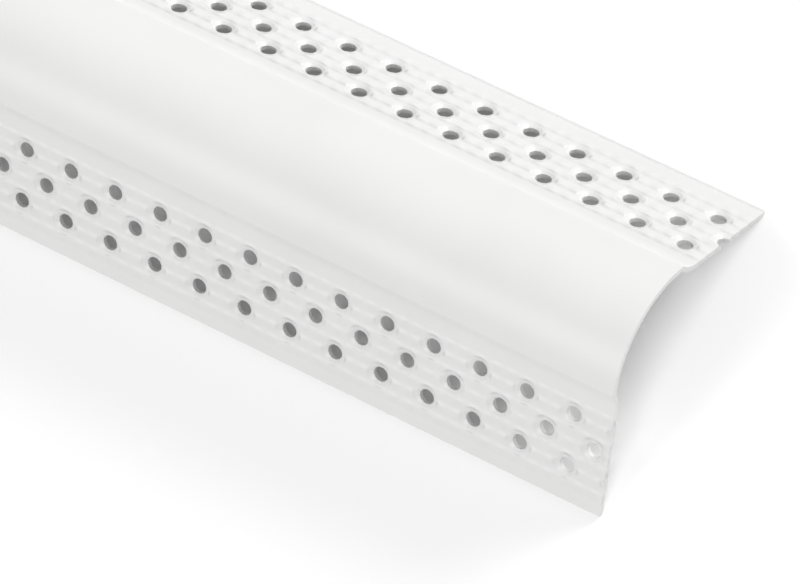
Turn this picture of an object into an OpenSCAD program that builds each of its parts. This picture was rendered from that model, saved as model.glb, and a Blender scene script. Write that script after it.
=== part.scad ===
// Bullnose outside corner bead for drywall: one extruded strip of white plastic.
// A quarter-round nose stands proud of two perforated flanges at right angles.
// X runs along the strip, the nose is up, and both free edges stand on Z = 0.

/* [Stock] */
// Length that the strip is cut to
bead_length = 2438.4; // [300:0.1:3048]
// Thickness of the wall all round the section
wall = 1.0; // [0.6:0.1:1.6]

/* [Nose] */
// Outside radius of the quarter-round nose
nose_radius = 19.05; // [12:0.05:32]
// Height that the nose stands proud of the flanges, which the compound fills
nose_proud = 1.6; // [0.8:0.1:2.4]
// Width of the slanted step from the nose down to the flange
step_width = 2.6; // [1.6:0.1:4]

/* [Flanges] */
// Width of the flat flange, from the foot of the step to the free edge
flange_width = 25.4; // [20:0.1:40]

/* [Holes] */
// Diameter of each hole
hole_diameter = 3.2; // [2:0.1:4]
// Distance between holes of one row, along the strip
hole_pitch = 10.5; // [8:0.1:20]
// Rows of holes in each flange
hole_rows = 3; // [1:1:3]
// Distance between neighbouring rows
row_spacing = 5.75; // [4.5:0.05:6.5]
// Distance from the foot of the step to the first row
first_row = 6.35; // [4:0.05:7]
// Distance from the shown end to a hole of the back flange's first row
back_lead = 5.25; // [0:0.05:20]
// Distance from the shown end to a hole of the front flange's first row
front_lead = 8.6; // [0:0.05:20]

/* [Hidden] */
$fn = 64;
// Stretch that a cut runs past the faces it goes through
over = 1;
// Slope of the step against the flange
step_angle = atan(nose_proud / step_width);
// Shift of the inner bends that keeps the slanted wall as thick as the rest
bend_shift = wall * tan(step_angle / 2);
hole_radius = hole_diameter / 2;
// Across the section, sizes run along each leg from the corner where the outer flange faces would meet
nose_centre = nose_radius - nose_proud;
step_foot = nose_centre + bend_shift + step_width;
flange_edge = step_foot + flange_width;
// Height of that corner above the inner corners of the free edges, on which the strip stands
corner_height = (flange_edge + wall) * sin(45);
// Outline of a leg along X: its root inside the nose's wall, a short land, the slanted step and the flange
leg_outline = [
    [nose_centre - wall, wall / 2 - nose_proud],
    [nose_centre, -nose_proud],
    [nose_centre + bend_shift, -nose_proud],
    [step_foot, 0],
    [flange_edge, 0],
    [flange_edge, wall],
    [step_foot - bend_shift, wall],
    [nose_centre, wall - nose_proud]
];
// The same leg along Y, with its points still in anticlockwise order
turned_outline = [for (i = [len(leg_outline) - 1:-1:0]) [leg_outline[i].y, leg_outline[i].x]];

// Quarter ring of the nose, up to the two lines where it runs straight into the legs
module nose_section() {
    intersection() {
        translate([nose_centre, nose_centre])
            difference() {
                circle(r = nose_radius);
                circle(r = nose_radius - wall);
            }
        translate([-nose_proud - over, -nose_proud - over]) square(nose_radius + over);
    }
}

// The whole section, with the legs along both axes
module bead_section() {
    nose_section();
    polygon(leg_outline);
    polygon(turned_outline);
}

// Staggered holes of the flange along X, with the strip along Z and its shown end at the top
module flange_holes(lead) {
    for (row = [0:hole_rows - 1], k = [-1:ceil(bead_length / hole_pitch)]) {
        // Every other row is shifted by half a pitch
        first = (lead + (row % 2) * hole_pitch / 2) % hole_pitch;
        from_end = first + k * hole_pitch;
        if (from_end > -hole_radius && from_end < bead_length + hole_radius)
            translate([step_foot + first_row + row * row_spacing, -over, bead_length - from_end])
                rotate([-90, 0, 0]) cylinder(r = hole_radius, h = wall + 2 * over);
    }
}

// The strip, punched standing on its far end, then laid down with the nose up and the legs to both sides
module corner_bead() {
    color("whitesmoke")
        translate([-bead_length / 2, 0, corner_height])
            rotate([0, 90, 0]) rotate([0, 0, -45])
                difference() {
                    linear_extrude(bead_length) bead_section();
                    flange_holes(front_lead);
                    mirror([1, -1, 0]) flange_holes(back_lead);
                }
}

corner_bead();
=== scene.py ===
import math

import bmesh
import bpy
import numpy as np
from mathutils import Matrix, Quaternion, Vector


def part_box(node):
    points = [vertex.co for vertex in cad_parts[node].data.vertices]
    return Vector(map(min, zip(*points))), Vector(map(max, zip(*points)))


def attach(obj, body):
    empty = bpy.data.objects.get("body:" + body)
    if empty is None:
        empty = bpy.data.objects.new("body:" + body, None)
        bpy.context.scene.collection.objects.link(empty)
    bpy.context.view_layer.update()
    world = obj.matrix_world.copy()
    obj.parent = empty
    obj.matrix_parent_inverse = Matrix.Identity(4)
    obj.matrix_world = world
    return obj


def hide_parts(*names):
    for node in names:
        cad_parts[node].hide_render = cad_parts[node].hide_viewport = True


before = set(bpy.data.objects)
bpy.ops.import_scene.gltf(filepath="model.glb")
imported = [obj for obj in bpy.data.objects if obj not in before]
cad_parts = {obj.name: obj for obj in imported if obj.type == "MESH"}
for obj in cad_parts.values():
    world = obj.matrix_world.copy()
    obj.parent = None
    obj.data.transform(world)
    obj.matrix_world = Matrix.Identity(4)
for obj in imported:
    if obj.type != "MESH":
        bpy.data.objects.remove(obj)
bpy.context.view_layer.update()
print("frame loaded:", sorted(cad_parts))

mm = 0.001
diagonal = math.sqrt(0.5)  # both legs slope at 45 degrees

# the strip as the CAD has it, with the finish that is too fine for the CAD
bead = {
    "wall": 1.0 * mm,
    "noseRadius": 19.05 * mm,
    "noseProud": 1.6 * mm,
    "stepWidth": 2.6 * mm,
    "flangeWidth": 25.4 * mm,
    "holeRadius": 1.6 * mm,
    "holePitch": 10.5 * mm,
    "rowSpacing": 5.75 * mm,
    "firstRow": 6.35 * mm,  # foot of the step to the first row of holes
    "holeRows": 3,
    "lead": {-1: 8.6 * mm, 1: 5.25 * mm},  # shown end to a first-row hole, front and back flange
    "dishRadius": 2.25 * mm,  # the punch leaves a dish round each hole and pushes the inner face out
    "dishDepth": 0.45 * mm,
    "rimHeight": 0.9 * mm,  # straight wall of the hole below the dish
    "edgeRound": 0.25 * mm,  # both corners of a free edge
    "shoulderBend": 0.45 * mm,  # how far each bend of the step reaches from its corner
    "footBend": 1.9 * mm,  # the plain strip begins where this bend ends
    "noseSteps": 28,
    "bendSteps": 5,
    "columnsPerStretch": 8,  # half-pitch columns of holes along one stretch of the nose
    "mergeGap": 0.001 * mm,
    "cutGap": 0.0001 * mm,
    "sharpAngle": 32,  # degrees between two faces, above which their edge stays sharp
}

lowCorner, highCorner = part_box("corner_bead")
shownEnd, farEnd = highCorner.x, lowCorner.x
length = shownEnd - farEnd

wall = bead["wall"]
pitch, spacing = bead["holePitch"], bead["rowSpacing"]
stepAngle = math.atan2(bead["noseProud"], bead["stepWidth"])
bendShift = wall * math.tan(stepAngle / 2)
noseCentre = bead["noseRadius"] - bead["noseProud"]
stepFoot = noseCentre + bendShift + bead["stepWidth"]
flangeEdge = stepFoot + bead["flangeWidth"]
cornerHeight = (flangeEdge + wall) * diagonal


# leg sizes to X, Y and Z: s runs back from the shown end, u down the leg from the corner where the outer
# flange faces would meet, v into the wall; side is -1 for the front leg, 1 for the back
def legToWorld(s, u, v, side):
    s, u, v = np.broadcast_arrays(s, u, v)
    return np.stack([shownEnd - s, side * (u - v) * diagonal, cornerHeight - (u + v) * diagonal], -1)


# mesh parts gather here as vertex arrays and arrays of equal-sided faces
class Sheet:
    def __init__(self):
        self.points, self.faces, self.count = [], [], 0

    def add(self, points, faces):
        self.faces.append(faces.reshape(-1, faces.shape[-1]) + self.count)
        self.points.append(points.reshape(-1, 3))
        self.count += len(self.points[-1])

    def toMesh(self, name):
        mesh = bpy.data.meshes.new(name)
        points = np.concatenate(self.points)
        loops = np.concatenate([faces.ravel() for faces in self.faces])
        sizes = np.concatenate([np.full(len(faces), faces.shape[1]) for faces in self.faces])
        mesh.vertices.add(len(points))
        mesh.vertices.foreach_set("co", points.ravel())
        mesh.loops.add(len(loops))
        mesh.loops.foreach_set("vertex_index", loops)
        mesh.polygons.add(len(sizes))
        mesh.polygons.foreach_set("loop_start", np.cumsum(sizes) - sizes)
        mesh.update(calc_edges=True)
        return mesh


# quads between neighbouring lines of a grid of rows x columns points; a closed ring joins its ends
def gridFaces(rows, columns, ring=False):
    index = np.arange(rows * columns).reshape(rows, columns)
    after = np.roll(index, -1, 1) if ring else index[:, 1:]
    here = index if ring else index[:, :-1]
    return np.stack([here[:-1], after[:-1], after[1:], here[1:]], -1)


# twelve points round a cell of half a pitch by one row spacing, three to a side, and as many round a circle
sidePoints = 3
ringPoints = 4 * sidePoints
thirds = np.array([1, 1, 1, 1 / 3, -1 / 3, -1, -1, -1, -1, -1 / 3, 1 / 3, 1])
borderS = thirds * pitch / 4
borderU = np.roll(thirds, sidePoints) * spacing / 2
ringTurn = (np.arange(ringPoints) - 0.5) * 2 * math.pi / ringPoints


# a hole cell in five rings: its border, the dish's edge, the rim at the dish's bottom, the same circle at
# the hole's lower end, and the border on the inner face
def holeCell():
    circleS, circleU = np.cos(ringTurn), np.sin(ringTurn)
    rim, dish = bead["holeRadius"], bead["dishRadius"]
    s = np.stack([borderS, dish * circleS, rim * circleS, rim * circleS, borderS])
    u = np.stack([borderU, dish * circleU, rim * circleU, rim * circleU, borderU])
    rimTop = bead["dishDepth"]
    rimEnd = rimTop + bead["rimHeight"]
    v = np.broadcast_to([[0], [0], [rimTop], [rimEnd], [wall]], s.shape)
    return s, u, v, gridFaces(*s.shape, ring=True).reshape(-1, 4)


# a plain cell is its border on both faces, closed by two twelve-sided faces
def plainCell():
    s, u = np.stack([borderS, borderS]), np.stack([borderU, borderU])
    v = np.broadcast_to([[0], [wall]], s.shape)
    return s, u, v, np.arange(s.size).reshape(s.shape)


# one cell set down at every centre along a row
def repeatCell(sheet, cell, centreS, rowU, side):
    s, u, v, faces = cell
    offsets = np.arange(len(centreS)) * s.size
    points = legToWorld(s.ravel() + centreS[:, None], u.ravel() + rowU, v.ravel(), side)
    sheet.add(points, faces + offsets[:, None, None])


stretch = bead["columnsPerStretch"] * pitch / 2
stretches = math.ceil(length / stretch) + 2
noseLines = (np.arange(stretches + 1) - 1) * stretch  # both ends run past the cuts
joinLine = stepFoot + bead["footBend"]
fieldStart = stepFoot + bead["firstRow"] - spacing / 2
fieldEnd = fieldStart + bead["holeRows"] * spacing


# a flange: columns half a pitch wide with holes in every other cell, and long plain faces on both sides
def addFlange(sheet, side):
    firstLine = bead["lead"][side] - pitch / 4
    start = round((noseLines[0] - firstLine) / (pitch / 2))
    step = bead["columnsPerStretch"]
    columns = stretches * step
    lines = firstLine + (start + np.arange(columns + 1)) * pitch / 2
    centres = lines[:-1] + pitch / 4
    for row in range(bead["holeRows"]):
        rowU = fieldStart + (row + 0.5) * spacing
        punched = (start + np.arange(columns) + row) % 2 == 0
        repeatCell(sheet, holeCell(), centres[punched], rowU, side)
        repeatCell(sheet, plainCell(), centres[~punched], rowU, side)
    # one long face to a stretch: the field's border points on one side and two points on the other
    border = firstLine + (start + np.arange(columns * sidePoints + 1) / sidePoints) * pitch / 2
    index = np.arange(stretches)[:, None] * step * sidePoints + np.arange(step * sidePoints + 1)
    stretchLines = lines[::step]
    r = bead["edgeRound"]
    plainStrips = (fieldStart, joinLine, noseLines), (fieldEnd, flangeEdge - 2 * r, stretchLines)
    for nearU, farU, farLines in plainStrips:
        s = np.concatenate([border[index], farLines[1:, None], farLines[:-1, None]], 1)
        u = np.r_[np.full(index.shape[1], nearU), farU, farU]
        for v in (0, wall):
            sheet.add(legToWorld(s, u, v, side), np.arange(s.size).reshape(s.shape))
    # the free edge: a quarter circle of radius r at each corner
    turn = np.radians([0, 45, 90])
    edgeU = flangeEdge - r + r * np.r_[-1, np.sin(turn), np.sin(turn[::-1]), -1]
    edgeV = np.r_[0, r - r * np.cos(turn), wall - r + r * np.cos(turn[::-1]), wall]
    sheet.add(legToWorld(stretchLines[:, None], edgeU, edgeV, side), gridFaces(stretches + 1, len(edgeU)))


# a bend: a curve from a start before its corner to an end after it, where start, corner and end weigh
# (1-t)^2, 2t(1-t) and t^2, and the unit vectors along that curve
def bend(before, corner, after, reach):
    before, corner, after = map(np.array, (before, corner, after))
    t = np.linspace(0, 1, bead["bendSteps"])[:, None]
    start = corner + reach * (before - corner) / np.linalg.norm(before - corner)
    end = corner + reach * (after - corner) / np.linalg.norm(after - corner)
    curve = start * (1 - t) ** 2 + 2 * corner * t * (1 - t) + end * t ** 2
    tangent = (corner - start) * (1 - t) + (end - corner) * t
    return curve, tangent / np.linalg.norm(tangent, axis=1)[:, None]


# the nose: a line along the flange, up the step, round the quarter circle and down the other step, carried
# along the strip, and the same line set back by the wall for the inner face
def addNose(sheet):
    shoulder = (noseCentre + bendShift, -bead["noseProud"])
    foot, flat, noseEnd = (stepFoot, 0), (joinLine, 0), (noseCentre, -bead["noseProud"])
    footCurve, footTangent = bend(flat, foot, shoulder, bead["footBend"])
    topCurve, topTangent = bend(foot, shoulder, noseEnd, bead["shoulderBend"])
    leg = np.concatenate([footCurve, topCurve])
    tangent = np.concatenate([footTangent, topTangent])
    inward = np.stack([tangent[:, 1], -tangent[:, 0]], -1)
    turn = np.radians(np.linspace(-45, 45, bead["noseSteps"] + 1)[1:-1])
    centreZ = cornerHeight - 2 * noseCentre * diagonal
    for depth in (0, wall):
        line = leg + depth * inward
        front, back = (legToWorld(0, line[:, 0], line[:, 1], side)[:, 1:] for side in (-1, 1))
        radius = bead["noseRadius"] - depth
        arc = np.stack([radius * np.sin(turn), centreZ + radius * np.cos(turn)], -1)
        section = np.concatenate([front, arc, back[::-1]])
        grid = np.empty((len(noseLines), len(section), 3))
        grid[..., 0] = shownEnd - noseLines[:, None]
        grid[..., 1:] = section
        sheet.add(grid, gridFaces(*grid.shape[:2]))


# cuts the strip square at both ends, closes the cuts and turns every face outwards
def cutEnds(mesh):
    bm = bmesh.new()
    bm.from_mesh(mesh)
    bmesh.ops.remove_doubles(bm, verts=bm.verts[:], dist=bead["mergeGap"])
    for endX, outwards in ((shownEnd, 1), (farEnd, -1)):
        whole = bm.verts[:] + bm.edges[:] + bm.faces[:]
        cut = bmesh.ops.bisect_plane(bm, geom=whole, dist=bead["cutGap"], plane_co=(endX, 0, 0),
                                     plane_no=(outwards, 0, 0), clear_outer=True)
        edges = [e for e in cut["geom_cut"] if isinstance(e, bmesh.types.BMEdge)]
        bmesh.ops.edgeloop_fill(bm, edges=edges)
    bmesh.ops.recalc_face_normals(bm, faces=bm.faces[:])
    openEdges = sum(len(e.link_faces) != 2 for e in bm.edges)
    bm.to_mesh(mesh)
    bm.free()
    return openEdges


sheet = Sheet()
addFlange(sheet, -1)
addFlange(sheet, 1)
addNose(sheet)
strip = bpy.data.objects.new("bead_strip", sheet.toMesh("bead_strip"))
bpy.context.scene.collection.objects.link(strip)
openEdges = cutEnds(strip.data)
strip.data.polygons.foreach_set("use_smooth", np.ones(len(strip.data.polygons), bool))
strip.data.set_sharp_from_angle(angle=math.radians(bead["sharpAngle"]))
triangles = sum(len(p.vertices) - 2 for p in strip.data.polygons)
print("strip:", triangles, "triangles,", openEdges, "open edges")

# white plastic, smooth on the nose and embossed between the holes
plastic = {
    "colour": (0.815, 0.815, 0.81, 1),
    "shade": (0.795, 0.795, 0.788, 1),  # faint cloudiness of the plastic
    "cloudScale": 45,
    "cloudEdges": (0.35, 0.75),  # noise levels between which the colour turns to the shade
    "noseRoughness": 0.36,
    "fieldRoughness": 0.34,
    "ridgesPerRow": 2,
    "swellsPerPitch": 3,
    "ridgeHeight": 0.3 * mm,
    "ridgeShift": 0.33 * mm,  # from the steep flank of a ridge to the row of holes behind it
    "ridgeSkew": 0.15,
    "ridgeDip": 0.5,  # share of its height that a ridge loses between its swells
    "fieldBefore": 0.7 * spacing,  # the ridges reach so far before the first row and past the last
    "fieldAfter": 0.88 * spacing,
    "fieldFade": 0.08 * spacing,
    "lipRadius": 3.0 * mm,  # where the surface begins to sink towards a hole
    "lipSlope": 0.25,  # its slope at the dish's edge
    "reliefDepth": 0.8 * wall,  # deeper in the wall than this, the surface stays plain
    "grainHeight": 0.004 * mm,
    "grainScale": 900,
    "grainDetail": 3,
}


def makePlastic(name):
    material = bpy.data.materials.new(name)
    material.use_nodes = True
    nodes, links = material.node_tree.nodes, material.node_tree.links
    shader = nodes["Principled BSDF"]
    place = nodes.new("ShaderNodeTexCoord").outputs["Object"]

    def calc(operation, *values):
        node = nodes.new("ShaderNodeMath")
        node.operation = operation
        for socket, value in zip(node.inputs, values):
            if isinstance(value, (int, float)):
                socket.default_value = value
            else:
                links.new(value, socket)
        return node.outputs[0]

    def ramp(value, low, high):
        node = nodes.new("ShaderNodeMapRange")
        node.interpolation_type = "SMOOTHSTEP"
        links.new(value, node.inputs["Value"])
        node.inputs["From Min"].default_value = low
        node.inputs["From Max"].default_value = high
        return node.outputs["Result"]

    def noise(scale):
        node = nodes.new("ShaderNodeTexNoise")
        links.new(place, node.inputs["Vector"])
        node.inputs["Scale"].default_value = scale
        return node

    axes = nodes.new("ShaderNodeSeparateXYZ")
    links.new(place, axes.inputs[0])
    x, y, z = axes.outputs
    across = calc("ABSOLUTE", y)
    # down the leg from the first row of holes: (corner height - Z + |Y|) / sqrt 2, less the row's place
    alongLeg = calc("MULTIPLY", calc("SUBTRACT", across, z), diagonal)
    fromRow = calc("ADD", alongLeg, cornerHeight * diagonal - stepFoot - bead["firstRow"])
    # along the strip from a first-row hole of the same flange
    frontLead, backLead = bead["lead"][-1], bead["lead"][1]
    lead = calc("MULTIPLY_ADD", calc("GREATER_THAN", y, 0.0), backLead - frontLead, frontLead)
    fromHole = calc("SUBTRACT", calc("SUBTRACT", shownEnd, x), lead)
    # nearest hole: the row's number, then both offsets from that hole
    row = calc("ROUND", calc("DIVIDE", fromRow, spacing))
    row = calc("MINIMUM", calc("MAXIMUM", row, 0.0), bead["holeRows"] - 1)
    offsetU = calc("SUBTRACT", fromRow, calc("MULTIPLY", row, spacing))
    stagger = calc("MULTIPLY", calc("PINGPONG", row, 1.0), pitch / 2)
    offsetS = calc("WRAP", calc("SUBTRACT", fromHole, stagger), pitch / 2, -pitch / 2)
    fromCentre = calc("SQRT", calc("ADD", calc("POWER", offsetS, 2.0), calc("POWER", offsetU, 2.0)))
    # the surface sinks towards the dish by the square of the way into its lip
    lip, dish = plastic["lipRadius"], bead["dishRadius"]
    into = calc("SUBTRACT", lip, calc("MINIMUM", calc("MAXIMUM", fromCentre, dish), lip))
    sunk = calc("MULTIPLY", calc("POWER", into, 2.0), plastic["lipSlope"] / (lip - dish) / 2)
    # long ridges, steeper towards the nose, that swell along their length:
    # (1 + sin a + skew sin 2a) / 2 across the rows, times 1 - dip (1 - cos b) / 2 along them
    ridgeRate = 2 * math.pi * plastic["ridgesPerRow"] / spacing
    swellRate = 2 * math.pi * plastic["swellsPerPitch"] / pitch
    turn = calc("MULTIPLY", calc("ADD", fromRow, plastic["ridgeShift"]), ridgeRate)
    skew = calc("MULTIPLY", calc("SINE", calc("MULTIPLY", turn, 2.0)), plastic["ridgeSkew"])
    ridges = calc("MULTIPLY_ADD", calc("ADD", calc("SINE", turn), skew), 0.5, 0.5)
    dip = plastic["ridgeDip"] / 2
    swell = calc("MULTIPLY_ADD", calc("COSINE", calc("MULTIPLY", fromHole, swellRate)), dip, 1 - dip)
    ridges = calc("MULTIPLY", ridges, swell)
    # the ridges fade out before the first row, past the last row and round every hole
    before, fade = plastic["fieldBefore"], plastic["fieldFade"]
    lastLine = (bead["holeRows"] - 1) * spacing + plastic["fieldAfter"]
    past = ramp(fromRow, lastLine - fade, lastLine)
    field = calc("MULTIPLY", ramp(fromRow, -before, fade - before), calc("SUBTRACT", 1.0, past))
    ridges = calc("MULTIPLY", ridges, calc("MULTIPLY", field, ramp(fromCentre, dish, lip)))
    # the inner face stays plain: depth into the wall is (corner height - Z - |Y|) / sqrt 2
    depth = calc("MULTIPLY", calc("SUBTRACT", calc("SUBTRACT", cornerHeight, z), across), diagonal)
    outside = calc("LESS_THAN", depth, plastic["reliefDepth"])
    raised = calc("SUBTRACT", calc("MULTIPLY", ridges, plastic["ridgeHeight"]), sunk)
    relief = calc("MULTIPLY", raised, outside)
    grain = noise(plastic["grainScale"])
    grain.inputs["Detail"].default_value = plastic["grainDetail"]
    height = calc("MULTIPLY_ADD", grain.outputs["Fac"], plastic["grainHeight"], relief)
    bump = nodes.new("ShaderNodeBump")
    bump.inputs["Distance"].default_value = 1  # heights are in metres
    links.new(height, bump.inputs["Height"])
    links.new(bump.outputs["Normal"], shader.inputs["Normal"])
    cloud = noise(plastic["cloudScale"]).outputs["Fac"]
    tint = nodes.new("ShaderNodeMix")
    tint.data_type = "RGBA"
    tint.inputs["A"].default_value = plastic["colour"]
    tint.inputs["B"].default_value = plastic["shade"]
    links.new(ramp(cloud, *plastic["cloudEdges"]), tint.inputs["Factor"])
    links.new(tint.outputs["Result"], shader.inputs["Base Color"])
    noseRough, fieldRough = plastic["noseRoughness"], plastic["fieldRoughness"]
    links.new(calc("MULTIPLY_ADD", field, fieldRough - noseRough, noseRough), shader.inputs["Roughness"])
    return material


strip.data.materials.append(makePlastic("white_plastic"))
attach(strip, "root")
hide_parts("corner_bead")
print("plastic laid on")

# floor, studio light and camera
studio = {
    "floorSize": 160,
    "floorShade": 0.6,  # shade of the floor for the light that it throws back
    "floorSeen": 1.0,  # shade that the camera sees, so that the open floor comes out white
    "floorLift": 0.1,  # glow that the camera sees on top of it
    "ambient": 0.36,
    "lightAim": (1.1, 0, 0),
}
camera = {
    "aim": (1.17062, -0.01294, 0.020),
    "azimuth": 75.209,
    "elevation": 64.153,
    "roll": -48.018,
    "distance": 1.44109,
    "lens": 350.29,
    "sensor": 36,
}
# name, place, width, height, power
softboxes = [
    ("back_softbox", (3.4, 5.8, 2.3), 3.6, 2.0, 335),
    ("front_softbox", (3.3, -3.6, 5.2), 3.2, 3.0, 145),
    ("far_softbox", (-1.6, -3.9, 4.4), 2.8, 2.8, 112),
]


# 1 for rays of the camera, of gloss and of clear materials, which all see the white background,
# and 0 for the light
def seenRays(nodes, links):
    ray = nodes.new("ShaderNodeLightPath")
    seen = ray.outputs["Is Camera Ray"]
    for kind in ("Is Glossy Ray", "Is Transmission Ray"):
        either = nodes.new("ShaderNodeMath")
        either.operation = "MAXIMUM"
        links.new(seen, either.inputs[0])
        links.new(ray.outputs[kind], either.inputs[1])
        seen = either.outputs[0]
    return seen


# low for the light, high for the rays that see the background
def seenLevel(nodes, links, seen, low, high, socket):
    level = nodes.new("ShaderNodeMapRange")
    links.new(seen, level.inputs["Value"])
    level.inputs["To Min"].default_value = low
    level.inputs["To Max"].default_value = high
    links.new(level.outputs["Result"], socket)


def makeFloor():
    half = studio["floorSize"] / 2
    corners = [(-half, -half, 0), (half, -half, 0), (half, half, 0), (-half, half, 0)]
    mesh = bpy.data.meshes.new("floor")
    mesh.from_pydata(corners, [], [(0, 1, 2, 3)])
    floor = bpy.data.objects.new("floor", mesh)
    bpy.context.scene.collection.objects.link(floor)
    material = bpy.data.materials.new("pale_floor")
    material.use_nodes = True
    nodes, links = material.node_tree.nodes, material.node_tree.links
    nodes.remove(nodes["Principled BSDF"])
    matt, lift = nodes.new("ShaderNodeBsdfDiffuse"), nodes.new("ShaderNodeEmission")
    both, seen = nodes.new("ShaderNodeAddShader"), seenRays(nodes, links)
    seenLevel(nodes, links, seen, studio["floorShade"], studio["floorSeen"], matt.inputs["Color"])
    seenLevel(nodes, links, seen, 0, studio["floorLift"], lift.inputs["Strength"])
    links.new(matt.outputs[0], both.inputs[0])
    links.new(lift.outputs[0], both.inputs[1])
    links.new(both.outputs[0], nodes["Material Output"].inputs["Surface"])
    mesh.materials.append(material)


def makeWorld():
    world = bpy.data.worlds.new("studio")
    world.use_nodes = True
    nodes, links = world.node_tree.nodes, world.node_tree.links
    sky = nodes["Background"]
    sky.inputs["Color"].default_value = (1, 1, 1, 1)
    seenLevel(nodes, links, seenRays(nodes, links), studio["ambient"], 1, sky.inputs["Strength"])
    bpy.context.scene.world = world


def makeSoftbox(name, place, width, height, power):
    lamp = bpy.data.lights.new(name, "AREA")
    lamp.shape = "RECTANGLE"
    lamp.size, lamp.size_y, lamp.energy = width, height, power
    box = bpy.data.objects.new(name, lamp)
    box.location = place
    box.rotation_mode = "QUATERNION"
    box.rotation_quaternion = (Vector(studio["lightAim"]) - Vector(place)).to_track_quat("-Z", "Y")
    box.visible_camera = False
    bpy.context.scene.collection.objects.link(box)


# azimuth 0 looks along +Y, and the roll turns the picture about the line of sight
def makeCamera():
    a, e = math.radians(camera["azimuth"]), math.radians(camera["elevation"])
    back = Vector((math.sin(a) * math.cos(e), -math.cos(a) * math.cos(e), math.sin(e)))
    lens = bpy.data.cameras.new("camera")
    lens.lens, lens.sensor_width, lens.sensor_fit = camera["lens"], camera["sensor"], "HORIZONTAL"
    viewer = bpy.data.objects.new("camera", lens)
    viewer.location = Vector(camera["aim"]) + back * camera["distance"]
    viewer.rotation_mode = "QUATERNION"
    rolled = Quaternion((0, 0, 1), math.radians(camera["roll"]))
    viewer.rotation_quaternion = (-back).to_track_quat("-Z", "Y") @ rolled
    bpy.context.scene.collection.objects.link(viewer)
    bpy.context.scene.camera = viewer


makeFloor()
makeWorld()
for softbox in softboxes:
    makeSoftbox(*softbox)
makeCamera()
bpy.context.scene.view_settings.view_transform = "Standard"
print("studio set")
